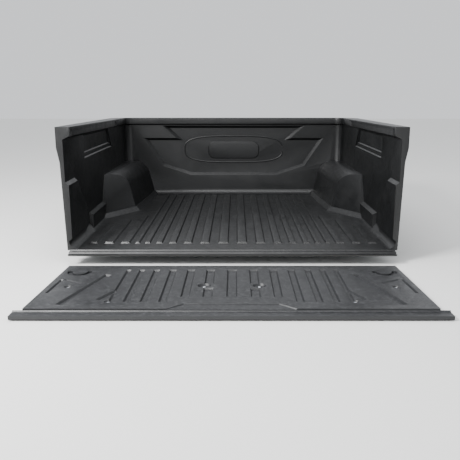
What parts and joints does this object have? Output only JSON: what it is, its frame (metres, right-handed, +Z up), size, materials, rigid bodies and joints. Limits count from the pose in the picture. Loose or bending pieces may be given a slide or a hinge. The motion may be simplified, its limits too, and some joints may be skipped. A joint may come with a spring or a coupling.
{
  "type": "truck bed liner",
  "caption": "Over-rail pickup bed liner: ribbed tub with wheel arches and rails, plus a hinged tailgate liner, with its screws, cup washers, U-nuts and foam strips.",
  "frame": {"origin": "underside of the load floor on the centre line, midway between the headboard's foot and the floor's rear edge", "axes": "+X to the truck's right, +Y forward to the cab and the headboard, +Z up"},
  "size_m": [1.6848, 2.276, 0.6294],
  "materials": {
    "tub_sheet": "black high-density polyethylene, thermoformed, fine haircell grain",
    "gate_sheet": "black high-density polyethylene, thermoformed, fine haircell grain",
    "washer": "black nylon cup washer",
    "screw": "black e-coated steel",
    "nut": "zinc-plated spring steel",
    "foam": "closed-cell EPDM foam strip"
  },
  "bodies": {
    "tub": {"tub_liner": "tub_sheet", "rail_rear_washers": "washer", "rail_rear_screws": "screw", "rail_rear_nuts": "nut", "rail_front_washers": "washer", "rail_front_screws": "screw", "rail_front_nuts": "nut", "rail_foam_left": "foam", "rail_foam_right": "foam", "headboard_foam": "foam"},
    "tailgate": {"tailgate_liner": "gate_sheet", "gate_middle_washers": "washer", "gate_middle_screws": "screw", "gate_middle_nuts": "nut", "gate_outer_washers": "washer", "gate_outer_screws": "screw", "gate_outer_nuts": "nut", "gate_corner_washers": "washer", "gate_corner_screws": "screw", "gate_corner_nuts": "nut", "gate_foam_left": "foam", "gate_foam_right": "foam"}
  },
  "joints": [
    {"name": "tailgate_swing", "type": "hinge", "parent": "tub", "child": "tailgate", "pos_m": [0, -0.862, -0.074], "axis": [-1, 0, 0], "range_deg": [0, 90]}
  ]
}
